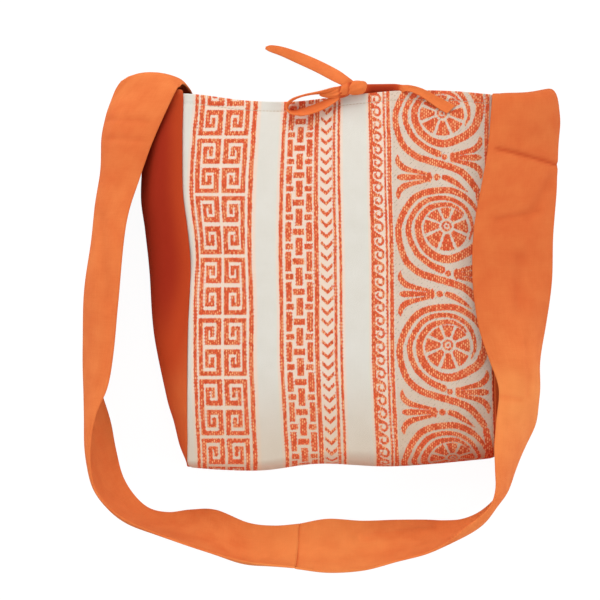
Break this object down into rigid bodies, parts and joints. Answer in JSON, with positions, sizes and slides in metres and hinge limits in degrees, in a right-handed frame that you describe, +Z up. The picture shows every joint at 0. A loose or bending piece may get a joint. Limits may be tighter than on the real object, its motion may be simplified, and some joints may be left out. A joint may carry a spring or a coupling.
{
  "type": "crossbody bag",
  "caption": "Flat cotton crossbody bag with patterned front and back, plain side strips that carry on as a wide shoulder strap, and a ribbon tie at the open mouth.",
  "frame": {"origin": "on the underside of the back panel, near its middle, where the bag lies on the floor", "axes": "+X across the front to the wearer-facing right of the picture, +Y towards the mouth, +Z up out of the front panel"},
  "size_m": [0.4724, 0.5198, 0.0791],
  "materials": {
    "patterned_cotton": "cream cotton with a woven terracotta pattern, matt",
    "orange_cotton": "plain weave, matt",
    "tie_cotton": "plain weave, matt"
  },
  "bodies": {
    "root": {"front_panel": "patterned_cotton", "back_panel": "patterned_cotton", "side_strip_left": "orange_cotton", "side_strip_right": "orange_cotton", "tie_knot": "tie_cotton", "tie_tail_left": "tie_cotton", "tie_loop": "tie_cotton", "tie_tail_right": "tie_cotton", "tie_root_front": "tie_cotton", "tie_root_back": "tie_cotton"}
  },
  "joints": []
}
